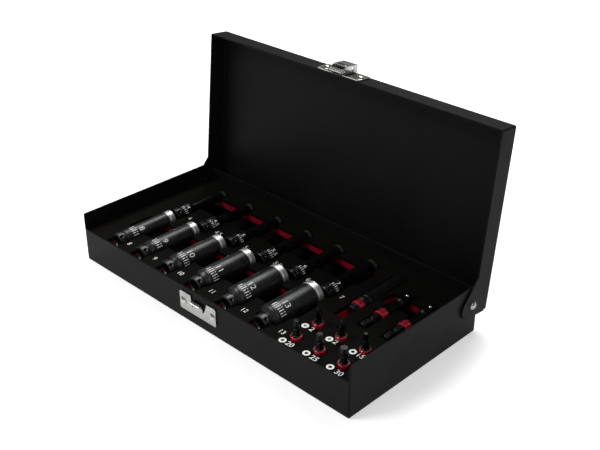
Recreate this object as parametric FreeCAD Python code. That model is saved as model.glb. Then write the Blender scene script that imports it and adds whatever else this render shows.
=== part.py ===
import FreeCAD, Part
import math, os
from FreeCAD import Vector as V

os.makedirs("parts", exist_ok=True)

# ---------------------------------------------------------------- dimensions
# Frame: origin at the centre of the base's underside, X along the length,
# the front of the case faces -Y, Z up. Millimetres. The lid is drawn shut
# and then turned to the open position in which it is stored.
L = 260.0            # base length, outside
W = 124.7            # base depth, outside
T = 1.0              # sheet steel
H_SIDE = 37.8        # side walls
H_FRONT = 25.8       # front wall
H_REAR = 32.7        # rear wall

PIV_Y, PIV_Z = 55.2, 24.0      # hinge rivets
LID_OPEN = 95.53               # opening angle, degrees
LID_U = 119.2                 # pivot to outer face of the lid's front wall
LID_R = 8.8                    # pivot to outer face of the lid's rear wall
LID_TOP = 17.3                 # pivot height to outer face of the lid panel
LID_EDGE = 1.8                 # pivot height to the lid's free edge
LID_REAR_EDGE = 8.09           # free edge of the lid's rear wall
LID_GAP = 0.4                  # between the base's sides and the lid's sides
LUG_C, LUG_R = (-0.8, -3.3), 8.0   # round lug about the hinge, in (u, v)
RIVET_R = 2.0
RUN = 0.06                     # running clearance, radial

FOAM_GAP = 0.3
FOAM_TOP = 24.5                # upper face of the inlay
FOAM_SPLIT = 21.5              # joint between the two foam layers
TROUGH_Z = 12.5                # floor of the finger troughs
TROUGHS = [(-113.0, -36.0, 61.0, -14.0), (-104.0, 18.5, 63.0, 41.0), (85.0, 17.0, 124.0, 31.0)]

XC = -2.8                      # centre of the catch and keeper
AX_Z = 24.0                    # height of the socket axes

# front row: size, x, body radius.  back row: size, x, mouth radius
BIG = [("8", -100.2, 6.0), ("9", -73.4, 6.6), ("10", -45.0, 7.3), ("11", -15.3, 8.0), ("12", 16.2, 8.7), ("13", 48.0, 9.3)]
SMALL = [("4", -99.5, 3.5), ("4_5", -69.0, 3.7), ("5", -38.5, 4.0), ("5_5", -7.8, 4.4), ("6", 23.0, 4.8), ("7", 53.5, 5.5)]
BIG_Y0, BIG_LEN = -55.3, 50.0
SMALL_Y0, SMALL_LEN = -3.2, 49.7
COLLAR_R = 6.0
DRIVE = 6.4                    # square drive across flats
PIN_ANGLE = 50.0               # direction of the retaining-pin hole

BIT_X = [75.5, 95.0, 114.5]
BIT_Y = [-31.0, -50.3]
BIT_Z0, BIT_Z1 = 12.7, 37.7
HEX = 6.35                     # hexagon shank across flats


# ---------------------------------------------------------------- helpers
def box(x0, y0, z0, x1, y1, z1):
    return Part.makeBox(x1 - x0, y1 - y0, z1 - z0, V(x0, y0, z0))


def cyl(r, p, d, h):
    return Part.makeCylinder(r, h, V(*p), V(*d))


def fuse(shapes):
    s = shapes[0]
    for o in shapes[1:]:
        s = s.fuse(o)
    return s.removeSplitter()


def fillet(s, r, pick):
    edges = [e for e in s.Edges if pick(e)]
    return s.makeFillet(r, edges) if edges else s


def along(e, axis):
    if len(e.Vertexes) < 2:
        return False
    d = e.Vertexes[1].Point - e.Vertexes[0].Point
    if d.Length < 1e-6:
        return False
    return abs(abs(getattr(d, axis)) / d.Length - 1) < 1e-6


def face(points):
    return Part.Face(Part.makePolygon([V(*p) for p in points] + [V(*points[0])]))


def prism_x(yz, x0, x1):
    return face([(x0, y, z) for y, z in yz]).extrude(V(x1 - x0, 0, 0))


def revolve_y(profile, x, y0, z):
    """A turned piece along Y: profile is (s, r) from its front end."""
    pts = [(0, profile[0][0], 0)] + [(r, s, 0) for s, r in profile] + [(0, profile[-1][0], 0)]
    clean = [pts[0]]
    for p in pts[1:]:
        if p != clean[-1]:
            clean.append(p)
    s = face(clean).revolve(V(0, 0, 0), V(0, 1, 0), 360)
    s.translate(V(x, y0, z))
    return s


def revolve_z(profile, x, y):
    """A turned piece along Z: profile is (z, r) from its lower end."""
    pts = [(0, 0, profile[0][0])] + [(r, 0, z) for z, r in profile] + [(0, 0, profile[-1][0])]
    clean = [pts[0]]
    for p in pts[1:]:
        if p != clean[-1]:
            clean.append(p)
    s = face(clean).revolve(V(0, 0, 0), V(0, 0, 1), 360)
    s.translate(V(x, y, 0))
    return s


def ngon_prism_y(n, across, x, y0, z, length, turn=0.0):
    R = across / 2 / math.cos(math.pi / n)
    pts = [(x + R * math.cos(math.radians(turn) + 2 * math.pi * k / n), y0, z + R * math.sin(math.radians(turn) + 2 * math.pi * k / n)) for k in range(n)]
    return face(pts).extrude(V(0, length, 0))


def ngon_prism_z(n, across, x, y, z0, length, turn=0.0):
    R = across / 2 / math.cos(math.pi / n)
    pts = [(x + R * math.cos(math.radians(turn) + 2 * math.pi * k / n), y + R * math.sin(math.radians(turn) + 2 * math.pi * k / n), z0) for k in range(n)]
    return face(pts).extrude(V(0, 0, length))


def uv(u, v):
    """Lid coordinates (u forward from the pivot, v up) to (y, z), lid shut."""
    return PIV_Y - u, PIV_Z + v


def open_lid(s):
    s = s.copy()
    s.rotate(V(0, PIV_Y, PIV_Z), V(1, 0, 0), -LID_OPEN)
    return s


def dome(r, h, p, d):
    """A round rivet head: a spherical cap of base radius r and height h on a thin rim."""
    R = (r * r + h * h) / (2 * h)
    c = V(*p) + V(*d) * (h + 0.25 - R)
    cap = Part.makeSphere(R, c).common(cyl(r, p, d, h + 0.5))
    return cap


nodes = {}


def keep(name, shape):
    if shape.ShapeType == "Compound" and len(shape.Solids) == 1:
        shape = shape.Solids[0]
    assert shape.isValid(), name
    nodes[name] = shape


# ---------------------------------------------------------------- base tray
outer = box(-L / 2, -W / 2, 0, L / 2, W / 2, H_SIDE)
outer = fillet(outer, 1.3, lambda e: along(e, "z") or max(v.Z for v in e.Vertexes) < 1e-6)
xi, yi = L / 2 - T, W / 2 - T
inner = box(-xi, -yi, T, xi, yi, H_SIDE + 5)
inner = fillet(inner, 0.5, lambda e: along(e, "z"))
tray = outer.cut(inner)
tray = tray.cut(box(-xi, -W / 2 - 1, H_FRONT, xi, -W / 2 + 6, H_SIDE + 5))
tray = tray.cut(box(-xi, W / 2 - 6, H_REAR, xi, W / 2 + 1, H_SIDE + 5))
# the side walls' upper corners are rounded off
for ys in (-1, 1):
    r = 2.0
    y0 = ys * W / 2
    corner = box(-L / 2 - 1, min(y0, y0 - ys * r), H_SIDE - r, L / 2 + 1, max(y0, y0 - ys * r), H_SIDE + 1)
    corner = corner.cut(cyl(r, (-L / 2 - 2, y0 - ys * r, H_SIDE - r), (1, 0, 0), L + 4))
    tray = tray.cut(corner)
for sx in (-1, 1):
    tray = tray.cut(cyl(RIVET_R, (sx * (xi - 3), PIV_Y, PIV_Z), (sx, 0, 0), 10))
KEEP_X = [XC - 14.6, XC + 14.6]
KEEP_Z = 15.4
for x in KEEP_X:
    tray = tray.cut(cyl(1.5, (x, -W / 2 - 5, KEEP_Z), (0, 1, 0), 10))
keep("base_tray", tray)

# hinge rivets: dome outside the lug, shank, flat head inside
rivets = []
for sx in (-1, 1):
    x_out = L / 2 + LID_GAP + T + 0.06
    sh = cyl(RIVET_R, (sx * (xi - 0.5), PIV_Y, PIV_Z), (sx, 0, 0), x_out - xi + 0.6)
    hd = dome(3.0, 1.5, (sx * x_out, PIV_Y, PIV_Z), (sx, 0, 0))
    tail = cyl(3.2, (sx * xi, PIV_Y, PIV_Z), (-sx, 0, 0), 0.8)
    rivets.append(fuse([sh, hd, tail]))
keep("hinge_rivets", Part.makeCompound(rivets))

# ---------------------------------------------------------------- lid (shut)
lx = L / 2 + LID_GAP + T
yf, _ = uv(LID_U, 0)
yr, _ = uv(-LID_R, 0)
zt = PIV_Z + LID_TOP
ze = PIV_Z + LID_EDGE
lid = box(-lx, yf, ze, lx, yr, zt)
lid = fillet(lid, 1.4, lambda e: along(e, "z") or min(v.Z for v in e.Vertexes) > zt - 1e-6)
cut = box(-lx + T, yf + T, ze - 5, lx - T, yr - T, zt - T)
cut = fillet(cut, 0.5, lambda e: along(e, "z") or min(v.Z for v in e.Vertexes) > zt - T - 1e-6)
lid = lid.cut(cut)
lid = lid.cut(box(-lx + T, yr - 3, ze - 5, lx - T, yr + 1, PIV_Z + LID_REAR_EDGE))
# side lugs: a straight slope from the free edge down to a round end
cu, cv = LUG_C
pu, pv = 18.6, LID_EDGE
d = math.hypot(pu - cu, pv - cv)
a0 = math.atan2(pv - cv, pu - cu)
ta = a0 - math.acos(LUG_R / d)
arc = [(cu + LUG_R * math.cos(t), cv + LUG_R * math.sin(t)) for t in [ta + (-math.pi - ta) * k / 40.0 for k in range(41)]]
outline = [(pu, pv)] + arc + [(-LID_R, 8.0), (-LID_R, 14.0), (pu, 14.0)]
for sx in (-1, 1):
    yz = [uv(u, v) for u, v in outline]
    x0, x1 = sorted((sx * (lx - T), sx * lx))
    lug = prism_x(yz, x0, x1)
    lid = lid.fuse(lug)
lid = lid.removeSplitter()
for sx in (-1, 1):
    lid = lid.cut(cyl(RIVET_R + RUN, (sx * (lx - 3), PIV_Y, PIV_Z), (sx, 0, 0), 6))
LATCH_X = [XC - 15.4, XC + 15.4]
LATCH_V = 8.4
for x in LATCH_X:
    y, z = uv(LID_U, LATCH_V)
    lid = lid.cut(cyl(1.4, (x, y - 3, z), (0, 1, 0), 8))
keep("lid", open_lid(lid))

# ---------------------------------------------------------------- keeper on the base's front wall
KT = 0.9
ky0, ky1 = -W / 2 - KT, -W / 2
plate = box(XC - 17.9, ky0, 9.0, XC + 17.9, ky1, 22.6)
plate = fillet(plate, 1.4, lambda e: along(e, "y"))
notch = [(XC - 6.8, 24.0), (XC - 6.6, 21.2), (XC - 6.2, 16.6), (XC - 5.6, 14.2), (XC + 5.6, 14.2), (XC + 7.6, 17.6), (XC + 8.8, 21.2), (XC + 9.1, 24.0)]
plate = plate.cut(face([(x, ky0 - 1, z) for x, z in notch]).extrude(V(0, KT + 2, 0)))
# the middle tongue rises and is bent outward into a short shelf with a rounded tip
tw = 4.8
leg = box(XC - tw, ky0, 13.6, XC + tw, ky1, 19.7)
leg = fillet(leg, 0.8, lambda e: along(e, "x") and min(v.Z for v in e.Vertexes) > 19.6 and max(v.Y for v in e.Vertexes) > ky1 - 0.01)
shelf = box(XC - tw, ky0 - 2.9, 18.6, XC + tw, ky0 + 0.1, 19.7)
shelf = fillet(shelf, 0.5, lambda e: along(e, "x") and max(v.Y for v in e.Vertexes) < ky0 - 2.8)
web_in = prism_x([(ky0 - 0.9, 18.7), (ky0 + 0.05, 18.7), (ky0 + 0.05, 17.7)], XC - tw, XC + tw)
plate = fuse([plate, leg, shelf, web_in])
for x in KEEP_X:
    plate = plate.cut(cyl(1.5, (x, ky0 - 3, KEEP_Z), (0, 1, 0), 6))
keep("keeper_plate", plate)
riv = []
for x in KEEP_X:
    sh = cyl(1.5, (x, ky0 - 0.3, KEEP_Z), (0, 1, 0), KT + T + 0.7)
    hd = dome(2.8, 1.2, (x, ky0, KEEP_Z), (0, -1, 0))
    tl = cyl(2.4, (x, -yi, KEEP_Z), (0, 1, 0), 0.7)
    riv.append(fuse([sh, hd, tl]))
keep("keeper_rivets", Part.makeCompound(riv))

# ---------------------------------------------------------------- latch on the lid's front wall (drawn on the shut lid)
LT = 0.85
U1 = LID_U + LT                # outer face of the latch plate
PU, PVV = 122.45, 1.2          # latch pin
PIN_R = 0.9


def yz_box(x0, x1, u0, u1, v0, v1):
    y0, z0 = uv(u1, v0)
    y1, z1 = uv(u0, v1)
    return box(x0, y0, z0, x1, y1, z1)


lp = yz_box(XC - 19.4, XC + 19.4, LID_U, U1, 2.4, 15.4)
lp = fillet(lp, 2.0, lambda e: along(e, "y"))
pin_y, pin_z = uv(PU, PVV)
kn = cyl(1.75, (XC - 5.2, pin_y, pin_z), (1, 0, 0), 10.4)
strap = prism_x([uv(LID_U, 4.6), uv(U1, 4.6), uv(PU + 0.2, PVV + 1.7), uv(PU - 1.0, PVV - 1.2), uv(PU - 2.1, PVV + 0.3), uv(LID_U, 3.0)], XC - 4.4, XC + 4.4)
lp = fuse([lp, kn, strap])
lp = lp.cut(cyl(PIN_R + 0.02, (XC - 8, pin_y, pin_z), (1, 0, 0), 16))
for x in LATCH_X:
    y, z = uv(LID_U, LATCH_V)
    lp = lp.cut(cyl(1.4, (x, y - 3, z), (0, 1, 0), 8))
keep("latch_plate", open_lid(lp))
riv = []
for x in LATCH_X:
    y, z = uv(U1, LATCH_V)
    sh = cyl(1.4, (x, y - 0.3, z), (0, 1, 0), LT + T + 0.9)
    hd = dome(2.6, 1.1, (x, y, z), (0, -1, 0))
    y2, _ = uv(LID_U - T, 0)
    tl = cyl(2.2, (x, y2, z), (0, 1, 0), 0.7)
    riv.append(open_lid(fuse([sh, hd, tl])))
keep("latch_rivets", Part.makeCompound(riv))
pin = cyl(PIN_R, (XC - 6.8, pin_y, pin_z), (1, 0, 0), 13.6)
heads = [dome(1.4, 0.5, (XC + s * 6.35, pin_y, pin_z), (s, 0, 0)) for s in (-1, 1)]
pin = fuse([pin] + heads)
keep("latch_pin", open_lid(pin))

# lever: folded channel, two cheeks on the pin and a web, folded up on its plate
cheeks = []
ul, uh = U1 + 0.3, U1 + 5.7
for s in (-1, 1):
    x0, x1 = sorted((XC + s * 5.45, XC + s * 6.2))
    blk = yz_box(x0, x1, ul, uh, 4.4, 16.0)
    blk = fillet(blk, 0.9, lambda e: along(e, "x"))
    eye = cyl(1.95, (x0, pin_y, pin_z), (1, 0, 0), x1 - x0)
    arm = prism_x([uv(PU + 0.6, PVV - 1.855), uv(uh - 0.5, 4.7), uv(uh - 0.5, 6.0), uv(ul, 6.0), uv(ul, 4.6), uv(PU - 1.9, PVV + 0.4)], x0, x1)
    c = fuse([blk, eye, arm])
    if s > 0:                  # one cheek has an upright slot
        slot = yz_box(x0 - 1, x1 + 1, 121.5, 124.7, 9.9, 12.3)
        slot = fillet(slot, 0.8, lambda e: along(e, "x"))
        c = c.cut(slot)
    c = c.cut(cyl(PIN_R + RUN, (x0 - 1, pin_y, pin_z), (1, 0, 0), 3))
    cheeks.append(c)
web = yz_box(XC - 5.6, XC + 5.6, ul, ul + 0.8, 5.4, 16.0)
lever = fuse(cheeks + [web])
keep("latch_lever", open_lid(lever))
# catch plate across the open side of the channel; its slot drops over the keeper's shelf
cp = yz_box(XC - 5.45, XC + 5.45, uh - 0.8, uh, 4.6, 15.6)
win = yz_box(XC - 5.05, XC + 5.05, uh - 2, uh + 2, 5.7, 8.4)
win = fillet(win, 0.5, lambda e: along(e, "y"))
cp = cp.cut(win)
keep("latch_catch", open_lid(cp))

# ---------------------------------------------------------------- sockets
def socket_big(x, R, size):
    s1 = BIG_LEN
    a = [(0, COLLAR_R - 0.6), (0.6, COLLAR_R), (4.1, COLLAR_R), (4.4, COLLAR_R - 0.3), (4.4, 5.15), (6.2, 5.15), (6.2, min(R, 6.1) - 0.3), (6.5, min(R, 6.1))]
    if R > 6.2:
        k = 8
        for i in range(1, k + 1):
            t = i / k
            a.append((6.5 + 3.2 * t, 6.1 + (R - 6.1) * math.sin(t * math.pi / 2)))
    a += [(44.6, R), (44.9, R - 0.25), (45.5, R - 0.25), (45.8, R), (s1 - 0.7, R), (s1, R - 0.6)]
    body = revolve_y(a, x, BIG_Y0, AX_Z)
    return finish_socket(body, x, BIG_Y0, s1, size, 20.0)


def socket_small(x, r, size):
    s1 = SMALL_LEN
    C = COLLAR_R
    a = [(0, C - 0.6), (0.6, C), (4.1, C), (4.4, C - 0.3), (4.4, 5.15), (6.0, 5.15), (6.0, C - 0.3), (6.3, C), (14.0, C)]
    k = 8
    for i in range(1, k + 1):
        t = i / k
        a.append((14.0 + 4.0 * t, C + (r - C) * (0.5 - 0.5 * math.cos(t * math.pi))))
    a += [(s1 - 0.5, r), (s1, r - 0.4)]
    body = revolve_y(a, x, SMALL_Y0, AX_Z)
    return finish_socket(body, x, SMALL_Y0, s1, size, 14.0)


def finish_socket(body, x, y0, s1, size, depth):
    # square drive turned so that one flat faces the retaining-pin hole
    sq = ngon_prism_y(4, DRIVE, x, y0 - 1, AX_Z, 9.5, PIN_ANGLE + 45)
    body = body.cut(sq)
    lead = Part.makeCone(COLLAR_R - 1.2, 2.6, 2.6, V(x, y0 - 0.6, AX_Z), V(0, 1, 0))
    body = body.cut(lead)
    # hexagon mouth with a small lead-in, then a drilled hole behind it
    hx = ngon_prism_y(6, size + 0.15, x, y0 + s1 - depth, AX_Z, depth + 1, 0)
    body = body.cut(hx)
    R = size / 2 / math.cos(math.pi / 6) + 0.25
    mouth = Part.makeCone(R, R - 0.9, 0.9, V(x, y0 + s1 + 0.01, AX_Z), V(0, -1, 0))
    body = body.cut(mouth)
    bore = cyl(size * 0.42, (x, y0 + 8.0, AX_Z), (0, 1, 0), s1 - 12)
    body = body.cut(bore)
    a = math.radians(PIN_ANGLE)
    dx, dz = math.cos(a), math.sin(a)
    hole = cyl(0.95, (x, y0 + 2.2, AX_Z), (dx, 0, dz), 12)
    body = body.cut(hole)
    sink = Part.makeCone(0.95, 1.75, 0.8, V(x + dx * 5.35, y0 + 2.2, AX_Z + dz * 5.35), V(dx, 0, dz))
    body = body.cut(sink)
    return body


for n, x, R in BIG:
    keep("socket_%smm" % n, socket_big(x, R, float(n)))
for n, x, r in SMALL:
    keep("socket_%smm" % n, socket_small(x, r, float(n.replace("_", "."))))

# ---------------------------------------------------------------- screwdriver bits, standing point up
def star(r_out, r_in, x, y, z0, h, n=6):
    pts = []
    m = 8
    for k in range(n * m):
        t = 2 * math.pi * k / (n * m)
        w = 0.5 + 0.5 * math.cos(n * t)
        r = r_in + (r_out - r_in) * w
        pts.append((x + r * math.cos(t), y + r * math.sin(t), z0))
    return face(pts).extrude(V(0, 0, h))


def bit_blank(x, y, tip_len):
    """Hexagon shank with chamfered ends, ring seat, waist."""
    hexa = ngon_prism_z(6, HEX, x, y, BIT_Z0, 14.4, 0)
    cone = revolve_z([(BIT_Z0, 2.9), (BIT_Z0 + 0.9, 3.9), (BIT_Z0 + 14.0, 3.9), (BIT_Z0 + 14.4, 3.5)], x, y)
    hexa = hexa.common(cone)
    seat = revolve_z([(23.2, 3.4), (27.0, 3.4)], x, y)
    ring_cut = revolve_z([(23.2, 6.0), (27.0, 6.0)], x, y).cut(revolve_z([(23.0, 2.9), (27.2, 2.9)], x, y))
    hexa = hexa.cut(ring_cut)
    core = revolve_z([(BIT_Z0 + 1, 2.9), (27.0, 2.9), (27.4, 2.3), (30.0, 1.95)], x, y)
    return hexa.fuse(core)


def cross_bit(x, y, angle):
    """Cross-head point: a cone with four flutes."""
    base = bit_blank(x, y, 8)
    head = revolve_z([(29.6, 1.95), (31.0, 2.1), (32.4, 3.0), (33.2, 3.05), (BIT_Z1 - 0.5, 0.75), (BIT_Z1, 0.35)], x, y)
    for k in range(4):
        a = math.radians(angle + 45 + 90 * k)
        c, s = math.cos(a), math.sin(a)
        # V flute leaning in towards the point
        w = 2.4
        p0 = V(x + c * 0.62, y + s * 0.62, BIT_Z1 + 1.0)
        p1 = V(x + c * 1.35, y + s * 1.35, 31.2)
        q = V(-s, c, 0)
        def ring(p, spread, out):
            return Part.makePolygon([p, p + V(c, s, 0) * out + q * spread, p + V(c, s, 0) * out - q * spread, p])
        loft = Part.makeLoft([ring(p0, w, w), ring(p1, w, w)], True)
        head = head.cut(loft)
    return base.fuse(head).removeSplitter()


def star_bit(x, y, r_out):
    base = bit_blank(x, y, 8)
    neck = revolve_z([(29.6, 1.95), (31.6, max(1.95, r_out + 0.15)), (32.4, r_out + 0.05)], x, y)
    tip = star(r_out, r_out * 0.72, x, y, 32.0, BIT_Z1 - 32.0)
    tip = tip.common(revolve_z([(31.0, r_out + 1), (BIT_Z1 - 0.5, r_out + 0.02), (BIT_Z1, r_out - 0.35)], x, y))
    return base.fuse(neck).fuse(tip).removeSplitter()


BITS = [("bit_cross_2", 0, 0, "ph"), ("bit_posi_2", 1, 0, "pz"), ("bit_star_15", 2, 0, 1.6), ("bit_star_20", 0, 1, 1.9), ("bit_star_25", 1, 1, 2.2), ("bit_star_30", 2, 1, 2.75)]
for name, i, j, kind in BITS:
    x, y = BIT_X[i], BIT_Y[j]
    if kind == "ph":
        s = cross_bit(x, y, 0)
    elif kind == "pz":
        s = cross_bit(x, y, 20)
    else:
        s = star_bit(x, y, kind)
    keep(name, s)
    ring = revolve_z([(23.3, 3.6), (23.6, 3.9), (26.5, 3.9), (26.9, 3.5)], x, y).cut(cyl(2.92, (x, y, 20), (0, 0, 1), 10))
    keep(name + "_ring", ring)

# ---------------------------------------------------------------- hexagon-shank drive adapters and the bit holder
AD_Y0 = -12.8
AD_Z = 22.9
ADAPTERS = [("drive_adapter_a", 95.5), ("drive_adapter_b", 114.5)]


def hex_shank(x, z, y0, y1):
    h = ngon_prism_y(6, HEX, x, y0, z, y1 - y0, 0)
    c = revolve_y([(0, 2.9), (0.9, 3.9), (y1 - y0, 3.9)], x, y0, z)
    h = h.common(c)
    g = revolve_y([(0, 6), (2.6, 6)], x, y0 + 7.6, z).cut(revolve_y([(-0.5, 3.3), (0.6, 2.55), (2.0, 2.55), (3.1, 3.3)], x, y0 + 7.6, z))
    return h.cut(g)


for name, x in ADAPTERS:
    z = AD_Z
    sh = hex_shank(x, z, AD_Y0, 3.4)
    core = revolve_y([(0, 3.0), (9.0, 3.0)], x, 2.0, z)
    neck = revolve_y([(0, 3.9), (0.5, 4.2), (2.2, 4.2), (3.2, 3.3), (14.0, 3.3), (15.4, 4.35), (18.0, 4.35), (18.4, 4.0)], x, 9.2, z)
    sq = ngon_prism_y(4, HEX, x, 27.0, z, 9.8, 45)
    sq = sq.common(revolve_y([(0, 4.3), (8.6, 4.3), (9.8, 3.3)], x, 27.0, z))
    body = fuse([sh, core, neck, sq])
    body = body.cut(cyl(1.36, (x, 32.4, z + 0.6), (0, 0, 1), 6))
    keep(name, body)
    ring = revolve_y([(0, 3.9), (0.4, 4.4), (5.0, 4.4), (5.4, 3.9)], x, 3.6, z).cut(cyl(3.02, (x, 0, z), (0, 1, 0), 12))
    keep(name + "_ring", ring)
    ball = Part.makeSphere(1.3, V(x, 32.4, z + HEX / 2 - 0.55))
    keep(name + "_ball", ball)

HX, HZ = 77.5, 22.3
HY0 = -2.4                     # end of the holder's short shank
sh = ngon_prism_y(6, HEX, HX, HY0, HZ, 4.6, 0).common(revolve_y([(0, 2.9), (0.9, 3.9), (4.6, 3.9)], HX, HY0, HZ))
core = revolve_y([(0, 3.0), (6.4, 3.0)], HX, 1.6, HZ)
HY1, HYL = 7.4, 40.2           # sleeve: front end and length
slv = revolve_y([(0, 4.6), (0.5, 5.1), (3.0, 5.1), (3.4, 4.8), (4.6, 4.8), (5.0, 5.1), (39.4, 5.1), (40.2, 4.4)], HX, HY1, HZ)
holder = fuse([sh, core, slv])
holder = holder.cut(ngon_prism_y(6, HEX + 0.1, HX, HY1 + HYL - 12.0, HZ, 13.0, 0))
keep("bit_holder", holder)
ring = revolve_y([(0, 3.9), (0.4, 4.5), (4.2, 4.5), (4.6, 3.9)], HX, 2.6, HZ).cut(cyl(3.02, (HX, -2, HZ), (0, 1, 0), 12))
keep("bit_holder_ring", ring)
mag = cyl(2.6, (HX, HY1 + HYL - 12.0, HZ), (0, 1, 0), 1.6)
keep("bit_holder_magnet", mag)

# ---------------------------------------------------------------- foam inlay, two layers
fx, fy = xi - FOAM_GAP, yi - FOAM_GAP


def rounded(x0, y0, x1, y1, z0, z1, r):
    return fillet(box(x0, y0, z0, x1, y1, z1), r, lambda e: along(e, "z"))


def channel(x, y0, y1, z, r):
    """A round-bottomed channel open at the top."""
    return cyl(r, (x, y0, z), (0, 1, 0), y1 - y0).fuse(box(x - r, y0, z, x + r, y1, FOAM_TOP + 5))


cutters = []
G = 0.4
for n, x, R in BIG:
    cutters.append(channel(x, BIG_Y0 - 4.2, BIG_Y0 + 9.0, AX_Z, COLLAR_R + G))
    cutters.append(channel(x, BIG_Y0 + 5.4, BIG_Y0 + BIG_LEN + 0.8, AX_Z, max(R, COLLAR_R) + G))
for n, x, r in SMALL:
    cutters.append(channel(x, SMALL_Y0 - 0.8, SMALL_Y0 + 16.5, AX_Z, COLLAR_R + G))
    cutters.append(channel(x, SMALL_Y0 + 14.0, SMALL_Y0 + SMALL_LEN + 1.0, AX_Z, max(r, 4.6) + G))
for x, dz in ((ADAPTERS[0][1], AD_Z), (ADAPTERS[1][1], AD_Z)):
    cutters.append(channel(x, AD_Y0 - 0.6, 4.0, dz, 4.1))
    cutters.append(channel(x, 3.0, 38.2, dz, 4.9))
cutters.append(channel(HX, -14.7, 3.0, HZ, 4.3))
cutters.append(channel(HX, 1.6, HY1 + HYL + 1.0, HZ, 5.6))
for x0, y0, x1, y1 in TROUGHS:
    cutters.append(rounded(x0, y0, x1, y1, TROUGH_Z, FOAM_TOP + 5, 4.0))
for x in BIT_X:
    for y in BIT_Y:
        cutters.append(cyl(4.3, (x, y, BIT_Z0 - 0.3), (0, 0, 1), 30))
for sx in (-1, 1):
    cutters.append(cyl(3.7, (sx * (xi - 1.4), PIV_Y, PIV_Z), (sx, 0, 0), 3))
for x in KEEP_X:
    cutters.append(cyl(2.9, (x, -yi - 1, KEEP_Z), (0, 1, 0), 2.2))
top = rounded(-fx, -fy, fx, fy, FOAM_SPLIT, FOAM_TOP, 1.0)
bot = rounded(-fx, -fy, fx, fy, T, FOAM_SPLIT, 1.0)
for c in cutters:
    top = top.cut(c)
    bot = bot.cut(c)
keep("foam_top_layer", top)
keep("foam_bottom_layer", bot)

for name, shape in nodes.items():
    shape.exportStep("parts/%s.step" % name)
    bb = shape.BoundBox
    print("%-24s solids %d vol %9.1f  x %.2f..%.2f y %.2f..%.2f z %.2f..%.2f" % (name, len(shape.Solids), shape.Volume, bb.XMin, bb.XMax, bb.YMin, bb.YMax, bb.ZMin, bb.ZMax))
a = math.radians(LID_OPEN)
py = PIV_Y - PU * math.cos(a) + PVV * math.sin(a)
pz = PIV_Z + PU * math.sin(a) + PVV * math.cos(a)
print("latch pin, lid open: y %.4f z %.4f" % (py, pz), "nodes", len(nodes))
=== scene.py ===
import math
import random

import bmesh
import bpy
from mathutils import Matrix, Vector


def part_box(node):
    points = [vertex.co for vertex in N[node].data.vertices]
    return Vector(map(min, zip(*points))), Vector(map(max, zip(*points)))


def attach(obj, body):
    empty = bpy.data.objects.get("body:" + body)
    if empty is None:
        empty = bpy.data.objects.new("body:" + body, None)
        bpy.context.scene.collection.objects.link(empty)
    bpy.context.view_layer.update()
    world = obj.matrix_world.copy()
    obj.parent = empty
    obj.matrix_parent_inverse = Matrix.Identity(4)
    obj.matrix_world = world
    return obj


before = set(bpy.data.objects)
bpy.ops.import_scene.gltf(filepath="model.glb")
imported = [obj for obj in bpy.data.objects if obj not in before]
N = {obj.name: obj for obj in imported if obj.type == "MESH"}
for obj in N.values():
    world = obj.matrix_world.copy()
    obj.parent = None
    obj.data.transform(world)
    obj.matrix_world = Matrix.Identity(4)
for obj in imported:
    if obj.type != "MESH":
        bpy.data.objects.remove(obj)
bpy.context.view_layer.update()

random.seed(7)
MM = 0.001

# ------------------------------------------------------------------ measures (mm), the row frame
FOAM_TOP = 24.5
AX_Z = 24.0
BIG = [("8", -100.2, 6.0), ("9", -73.4, 6.6), ("10", -45.0, 7.3), ("11", -15.3, 8.0), ("12", 16.2, 8.7), ("13", 48.0, 9.3)]
SMALL = [("4", -99.5), ("4.5", -69.0), ("5", -38.5), ("5.5", -7.8), ("6", 23.0), ("7", 53.5)]
BIG_Y0, SMALL_Y0, COLLAR_R = -55.3, -3.2, 6.0


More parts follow.
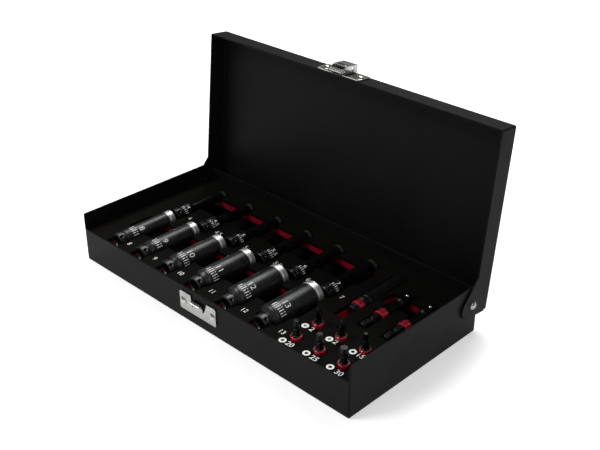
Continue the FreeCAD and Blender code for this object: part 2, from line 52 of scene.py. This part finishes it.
# ------------------------------------------------------------------ materials
class Mat:
    def __init__(self, name):
        self.m = bpy.data.materials.new(name)
        self.m.use_nodes = True
        self.t = self.m.node_tree
        self.n = self.t.nodes
        self.b = self.n["Principled BSDF"]
        self.co = self.n.new("ShaderNodeTexCoord").outputs["Object"]

    def link(self, a, b):
        self.t.links.new(a, b)

    def mapped(self, scale=(1, 1, 1), rot=(0, 0, 0)):
        m = self.n.new("ShaderNodeMapping")
        m.inputs["Scale"].default_value = scale
        m.inputs["Rotation"].default_value = rot
        self.link(self.co, m.inputs["Vector"])
        return m.outputs["Vector"]

    def noise(self, scale, detail=4.0, rough=0.55, vec=None):
        x = self.n.new("ShaderNodeTexNoise")
        x.inputs["Scale"].default_value = scale
        x.inputs["Detail"].default_value = detail
        x.inputs["Roughness"].default_value = rough
        self.link(vec or self.co, x.inputs["Vector"])
        return x.outputs["Fac"]

    def voronoi(self, scale, vec=None, feature="F1"):
        x = self.n.new("ShaderNodeTexVoronoi")
        x.feature = feature
        x.inputs["Scale"].default_value = scale
        self.link(vec or self.co, x.inputs["Vector"])
        return x.outputs["Distance"]

    def ramp(self, fac, stops):
        r = self.n.new("ShaderNodeValToRGB")
        e = r.color_ramp.elements
        while len(e) < len(stops):
            e.new(0.5)
        for k, (p, c) in enumerate(stops):
            e[k].position = p
            e[k].color = (*c, 1.0) if isinstance(c, tuple) else (c, c, c, 1.0)
        self.link(fac, r.inputs["Fac"])
        return r.outputs["Color"]

    def span(self, fac, lo, hi, a, b):
        r = self.n.new("ShaderNodeMapRange")
        r.inputs["From Min"].default_value = lo
        r.inputs["From Max"].default_value = hi
        r.inputs["To Min"].default_value = a
        r.inputs["To Max"].default_value = b
        self.link(fac, r.inputs["Value"])
        return r.outputs["Result"]

    def math(self, op, a, b=None):
        x = self.n.new("ShaderNodeMath")
        x.operation = op
        for k, v in enumerate((a, b)):
            if v is None:
                continue
            if isinstance(v, (int, float)):
                x.inputs[k].default_value = v
            else:
                self.link(v, x.inputs[k])
        return x.outputs[0]

    def mix(self, fac, a, b):
        x = self.n.new("ShaderNodeMix")
        x.data_type = "RGBA"
        if isinstance(fac, (int, float)):
            x.inputs[0].default_value = fac
        else:
            self.link(fac, x.inputs[0])
        for sock, v in ((x.inputs[6], a), (x.inputs[7], b)):
            if isinstance(v, tuple):
                sock.default_value = (*v, 1.0)
            else:
                self.link(v, sock)
        return x.outputs[2]

    def edge(self, radius, lo=0.03, hi=0.25):
        """0 on flats, 1 along convex edges."""
        bv = self.n.new("ShaderNodeBevel")
        bv.samples = 4
        bv.inputs["Radius"].default_value = radius
        g = self.n.new("ShaderNodeNewGeometry")
        d = self.n.new("ShaderNodeVectorMath")
        d.operation = "DOT_PRODUCT"
        self.link(bv.outputs["Normal"], d.inputs[0])
        self.link(g.outputs["Normal"], d.inputs[1])
        return self.span(self.math("SUBTRACT", 1.0, d.outputs["Value"]), lo, hi, 0.0, 1.0)

    def finish(self, color, rough, metallic=0.0, bumps=(), rounding=0.0, spec=0.5, coat=0.0, coat_rough=0.1):
        self.link(color, self.b.inputs["Base Color"])
        self.link(rough, self.b.inputs["Roughness"])
        if isinstance(metallic, (int, float)):
            self.b.inputs["Metallic"].default_value = metallic
        else:
            self.link(metallic, self.b.inputs["Metallic"])
        self.b.inputs["Specular IOR Level"].default_value = spec
        self.b.inputs["Coat Weight"].default_value = coat
        self.b.inputs["Coat Roughness"].default_value = coat_rough
        last = None
        if rounding:
            bv = self.n.new("ShaderNodeBevel")
            bv.samples = 4
            bv.inputs["Radius"].default_value = rounding
            last = bv.outputs["Normal"]
        for height, dist, strength in bumps:
            bp = self.n.new("ShaderNodeBump")
            bp.inputs["Distance"].default_value = dist
            bp.inputs["Strength"].default_value = strength
            self.link(height, bp.inputs["Height"])
            if last is not None:
                self.link(last, bp.inputs["Normal"])
            last = bp.outputs["Normal"]
        if last is not None:
            self.link(last, self.b.inputs["Normal"])
        return self.m


def case_paint():
    m = Mat("case_powder_coat")
    mottle = m.noise(26, 5)
    grain = m.noise(2600, 2)
    scuff = m.noise(75, 6, 0.7)
    base = m.ramp(mottle, [(0.3, (0.0046, 0.0046, 0.0044)), (0.7, (0.0064, 0.0064, 0.0062))])
    speck = m.span(m.voronoi(900), 0.0, 0.08, 1.0, 0.0)
    base = m.mix(m.math("MULTIPLY", speck, 0.30), base, (0.022, 0.022, 0.022))
    wear = m.math("MULTIPLY", m.edge(0.0006), m.span(m.noise(420, 3), 0.45, 0.7, 0.15, 0.9))
    base = m.mix(m.math("MULTIPLY", wear, 0.5), base, (0.04, 0.04, 0.04))
    rough = m.math("ADD", m.span(mottle, 0.3, 0.7, 0.40, 0.50), m.math("MULTIPLY", m.span(scuff, 0.45, 0.8, 0.0, 0.08), 1.0))
    return m.finish(base, rough, 0.0, [(grain, 0.00003, 0.35), (m.noise(900, 3), 0.00005, 0.3)], rounding=0.0004, spec=0.055)


def foam(name, dark, light, rough, shade_below_z=None):
    m = Mat(name)
    cells = m.voronoi(1500)
    fine = m.noise(3200, 3)
    broad = m.noise(60, 4)
    c = m.ramp(m.math("MULTIPLY", m.math("ADD", fine, broad), 0.5), [(0.35, dark), (0.65, light)])
    if shade_below_z:
        sep = m.n.new("ShaderNodeSeparateXYZ")
        m.link(m.co, sep.inputs["Vector"])
        # painted shade: below this height the red foam is painted near-black, the shade on the trough floor
        c = m.mix(m.span(sep.outputs["Z"], shade_below_z - 0.00015, shade_below_z + 0.00015, 0.0, 1.0), (0.0034, 0.0026, 0.0024), c)
    pores = m.span(cells, 0.0, 0.25, 1.0, 0.0)
    c = m.mix(m.math("MULTIPLY", pores, 0.4), c, tuple(v * 0.5 for v in dark))
    return m.finish(c, m.span(fine, 0.3, 0.7, rough - 0.06, rough + 0.06), 0.0, [(cells, 0.00006, 0.45), (fine, 0.00004, 0.4)], rounding=0.0003, spec=0.04)


def blackened(name, base_lo, base_hi, rough=0.34, metallic=0.8, band=None, tip=None, axis_scale=(220, 1400, 220), worn=(0.22, 0.22, 0.21)):
    """Black phosphated steel with fine turning marks and worn edges; band is the length over which the mouth is bright."""
    m = Mat(name)
    turn = m.noise(1, 4, 0.6, m.mapped(axis_scale))
    blotch = m.noise(170, 4)
    c = m.ramp(blotch, [(0.32, base_lo), (0.68, base_hi)])
    c = m.mix(m.span(turn, 0.35, 0.65, 0.0, 0.3), c, tuple(v * 1.3 for v in base_hi))
    wear = m.math("MULTIPLY", m.edge(0.0005), m.span(m.noise(700, 3), 0.4, 0.65, 0.2, 1.0))
    c = m.mix(m.math("MULTIPLY", wear, 0.65), c, worn)
    r = m.math("ADD", m.span(blotch, 0.3, 0.7, rough - 0.05, rough + 0.06), m.span(turn, 0.3, 0.7, -0.03, 0.03))
    met = metallic
    if band:
        sep = m.n.new("ShaderNodeSeparateXYZ")
        m.link(m.co, sep.inputs["Vector"])
        y = sep.outputs["Y"]
        mask = m.span(y, band[0] - 0.00015, band[0] + 0.00015, 0.0, 1.0)
        silver = m.mix(m.span(turn, 0.35, 0.65, 0.0, 1.0), band[1], band[2])
        c = m.mix(mask, c, silver)
        r = m.math("ADD", m.math("MULTIPLY", r, m.math("SUBTRACT", 1.0, mask)), m.math("MULTIPLY", mask, band[3]))
        met = m.math("MAXIMUM", mask, metallic)
    return m.finish(c, r, met, [(turn, 0.0000025, 0.3), (m.noise(1900, 2), 0.000002, 0.25)], rounding=0.00025, spec=0.5)


def bright(name, lo, hi, rough, stretch=(60, 1600, 1600), rot=(0, 0, 0), grime=0.35, painted_hollow_shade=0.97, recess=None):
    m = Mat(name)
    brush = m.noise(1, 5, 0.65, m.mapped(stretch, rot))
    smear = m.noise(240, 4)
    # painted shade: ambient occlusion within 6 mm mixes the colour towards near-black in hollows, creases and under
    # overhangs
    ao = m.n.new("ShaderNodeAmbientOcclusion")
    ao.samples = 8
    ao.inputs["Distance"].default_value = 0.006
    shade = m.span(ao.outputs["AO"], 0.30, 0.85, 0.0, 1.0)
    c = m.mix(m.span(brush, 0.3, 0.7, 0.0, 1.0), lo, hi)
    c = m.mix(m.math("MULTIPLY", m.span(smear, 0.5, 0.75, 0.0, 1.0), grime), c, tuple(v * 0.45 for v in lo))
    c = m.mix(m.math("MULTIPLY", m.math("SUBTRACT", 1.0, shade), painted_hollow_shade), c, (0.006, 0.006, 0.006))
    # painted shade: inside the recess box (the keeper's notch above the tongue) the colour is painted near-black
    if recess:
        sep = m.n.new("ShaderNodeSeparateXYZ")
        m.link(m.co, sep.inputs["Vector"])
        notch_shade = m.math("GREATER_THAN", sep.outputs["X"], recess[0])
        for op, axis, v in (("LESS_THAN", "X", recess[1]), ("GREATER_THAN", "Y", recess[2]), ("GREATER_THAN", "Z", recess[3])):
            notch_shade = m.math("MULTIPLY", notch_shade, m.math(op, sep.outputs[axis], v))
        c = m.mix(m.math("MULTIPLY", notch_shade, 0.95), c, (0.012, 0.012, 0.012))
        # painted highlight: the strip on top of the tongue's shelf is painted near-white
        painted_shelf_highlight = m.math("MULTIPLY", m.math("GREATER_THAN", sep.outputs["Z"], 0.0184), m.math("LESS_THAN", sep.outputs["Z"], 0.0198))
        for op, axis, v in (("GREATER_THAN", "X", recess[0]), ("LESS_THAN", "X", recess[1]), ("LESS_THAN", "Y", -0.0638)):
            painted_shelf_highlight = m.math("MULTIPLY", painted_shelf_highlight, m.math(op, sep.outputs[axis], v))
        c = m.mix(painted_shelf_highlight, c, (0.92, 0.92, 0.90))
    r = m.math("ADD", m.span(smear, 0.3, 0.7, rough - 0.04, rough + 0.08), m.span(brush, 0.3, 0.7, -0.03, 0.05))
    return m.finish(c, r, 1.0, [(brush, 0.000012, 0.35)], rounding=0.0003)


def red_gloss():
    m = Mat("ring_red_gloss")
    swirl = m.noise(300, 3)
    c = m.ramp(swirl, [(0.35, (0.34, 0.006, 0.020)), (0.65, (0.52, 0.012, 0.036))])
    c = m.mix(m.math("MULTIPLY", m.edge(0.0004), 0.4), c, (0.50, 0.05, 0.07))
    return m.finish(c, m.span(m.noise(900, 2), 0.3, 0.7, 0.12, 0.20), 0.3, [(m.noise(1400, 2), 0.000005, 0.3)], rounding=0.0003, coat=0.8, coat_rough=0.06)


def white_ink():
    m = Mat("white_print")
    n = m.noise(1700, 3)
    c = m.ramp(n, [(0.25, (0.62, 0.62, 0.60)), (0.6, (0.90, 0.90, 0.88))])
    return m.finish(c, m.span(m.noise(600, 2), 0.3, 0.7, 0.55, 0.7), 0.0, [(n, 0.00001, 0.3)])


CASE = case_paint()
FOAM_K = foam("foam_black_cells", (0.0024, 0.0022, 0.0019), (0.0052, 0.0047, 0.0041), 0.72)
# the red foam is painted near-black below 17.2 mm as shade in the troughs
FOAM_R = foam("foam_red_cells", (0.19, 0.002, 0.010), (0.31, 0.005, 0.020), 0.70, shade_below_z=0.0172)
SOCK_A = blackened("socket_black_big", (0.030, 0.032, 0.031), (0.046, 0.049, 0.047), 0.36, 0.88, band=(-0.0110, (0.70, 0.71, 0.70), (0.80, 0.81, 0.80), 0.40))
# back-row socket steel: darker base and dimmer mouth band than the front row, painted shade for the lid's shadow over
# the back row
SOCK_B_SHADED = blackened("socket_black_slim_shaded", (0.011, 0.012, 0.012), (0.020, 0.022, 0.021), 0.28, 0.9, band=(0.0436, (0.26, 0.27, 0.27), (0.36, 0.37, 0.37), 0.34))
BIT = blackened("bit_black", (0.007, 0.007, 0.007), (0.014, 0.014, 0.014), 0.28, 0.85, axis_scale=(220, 220, 1400), worn=(0.08, 0.08, 0.08))
ADAPT = blackened("adapter_black", (0.006, 0.006, 0.006), (0.013, 0.013, 0.013), 0.28, 0.85, worn=(0.07, 0.07, 0.07))
SLEEVE = blackened("sleeve_dark", (0.007, 0.006, 0.006), (0.013, 0.012, 0.012), 0.38, 0.6, worn=(0.05, 0.05, 0.05))
NICKEL = bright("nickel_plate", (0.40, 0.40, 0.385), (0.56, 0.56, 0.54), 0.13)
# recess bounds the painted shade in the keeper's notch and the painted highlight on its shelf
KEEPER = bright("keeper_zinc", (0.36, 0.36, 0.35), (0.46, 0.46, 0.45), 0.30, recess=(-0.0086, 0.0038, -0.0656, 0.0169))
RIVET = bright("rivet_steel", (0.26, 0.26, 0.26), (0.38, 0.38, 0.38), 0.16, (500, 500, 500))
MAGNET = bright("magnet_steel", (0.25, 0.25, 0.25), (0.40, 0.40, 0.40), 0.40, (700, 700, 700))
BALL = bright("ball_steel", (0.70, 0.70, 0.70), (0.92, 0.92, 0.92), 0.12, (900, 900, 900), grime=0.1)
RED = red_gloss()
INK = white_ink()


def paint(o, m):
    o.data.materials.clear()
    o.data.materials.append(m)


PAINT = {"base_tray": CASE, "lid": CASE, "foam_top_layer": FOAM_K, "foam_bottom_layer": FOAM_R, "hinge_rivets": RIVET,
         "keeper_plate": KEEPER, "keeper_rivets": NICKEL, "latch_plate": NICKEL, "latch_rivets": NICKEL, "latch_pin": NICKEL,
         "latch_lever": NICKEL, "latch_catch": NICKEL, "bit_holder": SLEEVE, "bit_holder_magnet": MAGNET}
for name, o in N.items():
    if name in PAINT:
        paint(o, PAINT[name])
    elif name.endswith("_ring"):
        paint(o, RED)
    elif name.endswith("_ball"):
        paint(o, BALL)
    elif name.startswith("socket_"):
        # front row takes the plain steel, back row the copy darkened as painted shade
        paint(o, SOCK_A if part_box(name)[0].y < -0.03 else SOCK_B_SHADED)
    elif name.startswith("bit_"):
        paint(o, BIT)
    else:
        paint(o, ADAPT)
    # turned and bent faces shade smoothly, sharp edges stay sharp
    for p in o.data.polygons:
        p.use_smooth = True
    o.data.set_sharp_from_angle(angle=math.radians(32))


# ------------------------------------------------------------------ printed marks
def new_object(name, verts, faces, mat, body):
    me = bpy.data.meshes.new(name)
    me.from_pydata(verts, [], faces)
    me.update()
    o = bpy.data.objects.new(name, me)
    bpy.context.scene.collection.objects.link(o)
    me.materials.append(mat)
    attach(o, body)
    return o


def text_flat(s, cap, bold=0.0):
    """Outline glyphs as flat vertices and faces in mm, left edge at 0, baseline at 0, cap height as given."""
    cu = bpy.data.curves.new("t", "FONT")
    cu.body = s
    cu.size = cap / 0.70
    cu.offset = bold
    cu.resolution_u = 4
    ob = bpy.data.objects.new("t", cu)
    bpy.context.scene.collection.objects.link(ob)
    dg = bpy.context.evaluated_depsgraph_get()
    me = bpy.data.meshes.new_from_object(ob.evaluated_get(dg))
    bm = bmesh.new()
    bm.from_mesh(me)
    bpy.data.objects.remove(ob)
    bpy.data.curves.remove(cu)
    bpy.data.meshes.remove(me)
    bmesh.ops.remove_doubles(bm, verts=bm.verts[:], dist=1e-4)
    return bm


def bm_parts(bm):
    bm.verts.ensure_lookup_table()
    v = [tuple(p.co) for p in bm.verts]
    f = [[p.index for p in q.verts] for q in bm.faces]
    return v, f


def rect(x0, y0, x1, y1, bm):
    vs = [bm.verts.new(p) for p in ((x0, y0, 0), (x1, y0, 0), (x1, y1, 0), (x0, y1, 0))]
    bm.faces.new(vs)


def width(bm):
    xs = [v.co.x for v in bm.verts]
    return min(xs), max(xs)


def print_on_foam(name, s, x, y, cap, bold=0.0):
    bm = text_flat(s, cap, bold)
    a, b = width(bm)
    v, f = bm_parts(bm)
    bm.free()
    cx = (a + b) / 2
    v = [((p[0] - cx + x) * MM, (p[1] - cap / 2 + y) * MM, (FOAM_TOP + 0.03) * MM) for p in v]
    return new_object(name, v, f, INK, "base")


def ring_symbol(name, x, y, r_out, inner):
    n = 144
    v, f = [], []
    for k in range(n):
        t = 2 * math.pi * k / n
        for r in (r_out, inner(t)):
            v.append(((x + r * math.cos(t)) * MM, (y + r * math.sin(t)) * MM, (FOAM_TOP + 0.03) * MM))
    for k in range(n):
        a, b = 2 * k, 2 * ((k + 1) % n)
        f.append([a, b, b + 1, a + 1])
    return new_object(name, v, f, INK, "base")


def cross_hole(arm, half, tick=0.0):
    def r(t):
        u = t % (math.pi / 2)
        u = math.pi / 2 - u if u > math.pi / 4 else u
        d = min(arm / math.cos(u), half / max(math.sin(u), 1e-6))
        if tick:
            w = (math.pi / 4 - u)
            d = max(d, min(tick, 0.14 / max(math.sin(w), 1e-6)) if w < 0.5 else 0)
        return d
    return r


def star_hole(big, small):
    return lambda t: small + (big - small) * (0.5 + 0.5 * math.cos(6 * t))


for s, x in zip(("8", "9", "10", "11", "12", "13"), (-90.3, -61.1, -32.9, -1.0, 30.8, 64.8)):
    print_on_foam("print_large_" + s, s, x, -51.5, 3.7)
for s, x in zip(("4", "4.5", "5", "5.5", "6", "7"), (-88.4, -56.4, -27.1, 5.2, 34.3, 64.9)):
    print_on_foam("print_small_" + s.replace(".", "_"), s, x, 3.0, 3.7)
for k, (s, x, y) in enumerate((("2", 75.8, -36.5), ("2", 95.4, -36.3), ("15", 115.8, -36.1), ("20", 77.1, -57.2), ("25", 97.2, -57.1), ("30", 117.4, -57.3))):
    print_on_foam("print_bit_%d" % (k + 1), s, x, y - 0.1, 4.0, 0.11)
SYM = (("cross", 70.1, -36.9), ("posi", 90.5, -36.8), ("star15", 109.4, -36.5), ("star20", 70.8, -57.5), ("star25", 90.4, -56.9), ("star30", 109.7, -56.8))
for s, x, y in SYM:
    inner = cross_hole(1.15, 0.28) if s == "cross" else cross_hole(1.15, 0.28, 0.85) if s == "posi" else star_hole(1.35, 0.95)
    ring_symbol("symbol_" + s, x, y, 2.5, inner)


def wrap(name, bm, x, R, y, start_deg, body, lift=0.035):
    """Lays a flat mark round a cylinder along Y: left edge at start_deg from +X, running down the right-hand side."""
    a, b = width(bm)
    step = 0.35
    cuts = int((b - a) / step) + 1
    for k in range(1, cuts):
        geom = bm.verts[:] + bm.edges[:] + bm.faces[:]
        bmesh.ops.bisect_plane(bm, geom=geom, plane_co=(a + k * step, 0, 0), plane_no=(1, 0, 0), dist=1e-5)
    bm.verts.ensure_lookup_table()
    bm.verts.index_update()
    v, f = bm_parts(bm)
    bm.free()
    out = []
    rr = R + lift
    for p in v:
        t = math.radians(start_deg) - (p[0] - a) / rr
        out.append(((x + rr * math.cos(t)) * MM, (y + p[1]) * MM, (AX_Z + rr * math.sin(t)) * MM))
    return new_object(name, out, f, INK, body)


def tick_row(n, pitch, h):
    """A plain scale of bars: no lettering."""
    bm = bmesh.new()
    for k in range(n):
        hh = h if k % 2 == 0 else h * 0.55
        rect(k * pitch, 0, k * pitch + 0.55, hh, bm)
        if k % 2 == 1:
            rect(k * pitch, h * 0.78, k * pitch + 0.55, h, bm)
    return bm


for s, x, R in BIG:
    body = "tool_socket_%smm" % s
    cap = 4.4
    bm = text_flat(s, cap, 0.0)
    wrap("mark_size_" + s, bm, x, R, BIG_Y0 + 17.6, 72 if len(s) > 1 else 60, body)
    bm = tick_row(7 if R > 7 else 5, 1.75, cap)
    wrap("mark_scale_" + s, bm, x, R, BIG_Y0 + 11.2, 92, body)
for s, x in SMALL:
    body = "tool_socket_%smm" % s.replace(".", "_")
    bm = text_flat(s, 3.0, 0.02)
    wrap("mark_size_" + s.replace(".", "_"), bm, x, COLLAR_R, SMALL_Y0 + 10.2, 66, body)
    bm = tick_row(5, 1.5, 2.2)
    wrap("mark_scale_" + s.replace(".", "_"), bm, x, COLLAR_R, SMALL_Y0 + 7.1, 80, body)

# ------------------------------------------------------------------ floor, light, camera
fm = Mat("floor_paper")
fn = fm.noise(35, 4)
fm.finish(fm.ramp(fn, [(0.3, (0.86, 0.86, 0.86)), (0.7, (0.90, 0.90, 0.90))]), fm.span(fn, 0.3, 0.7, 0.85, 0.95), 0.0, [(fm.noise(800, 2), 0.00003, 0.2)], spec=0.2)
fm.b.inputs["Emission Color"].default_value = (1.0, 1.0, 1.0, 1.0)
fm.b.inputs["Emission Strength"].default_value = 0.45
me = bpy.data.meshes.new("floor")
me.from_pydata([(-14, -14, 0), (14, -14, 0), (14, 14, 0), (-14, 14, 0)], [], [(0, 1, 2, 3)])
floor = bpy.data.objects.new("floor", me)
bpy.context.scene.collection.objects.link(floor)
me.materials.append(fm.m)
floor.location.z = -0.00005

world = bpy.data.worlds.new("studio")
bpy.context.scene.world = world
world.use_nodes = True
bg = world.node_tree.nodes["Background"]
bg.inputs["Color"].default_value = (1.0, 1.0, 1.0, 1.0)
bg.inputs["Strength"].default_value = 0.25


def area(name, loc, target, size, power):
    d = bpy.data.lights.new(name, "AREA")
    d.shape = "RECTANGLE"
    d.size, d.size_y = size
    d.energy = power
    o = bpy.data.objects.new(name, d)
    bpy.context.scene.collection.objects.link(o)
    o.location = loc
    o.rotation_mode = "QUATERNION"
    o.rotation_quaternion = (Vector(target) - Vector(loc)).to_track_quat("-Z", "Y")
    return o


area("key", (-0.55, -0.75, 1.15), (0, 0, 0.03), (0.6, 0.4), 10.0)
area("rear_top", (-0.30, 0.78, 1.08), (0, -0.02, 0.03), (0.75, 0.45), 11.0)
area("right", (1.10, -0.30, 0.70), (0, 0, 0.05), (0.3, 0.5), 2.0)

cam = bpy.data.cameras.new("camera")
cam.sensor_width = 36.0
cam.lens = 58.32
cam.clip_start, cam.clip_end = 0.01, 60
cam.dof.use_dof = False
co = bpy.data.objects.new("camera", cam)
bpy.context.scene.collection.objects.link(co)
az, el = math.radians(44.32), math.radians(29.09)
back = Vector((math.sin(az) * math.cos(el), -math.cos(az) * math.cos(el), math.sin(el)))
co.location = (0.41636, -0.39614, 0.37385)
co.rotation_mode = "QUATERNION"
co.rotation_quaternion = (-back).to_track_quat("-Z", "Y")
bpy.context.scene.camera = co
bpy.context.scene.view_settings.view_transform = "Standard"

bpy.context.view_layer.update()
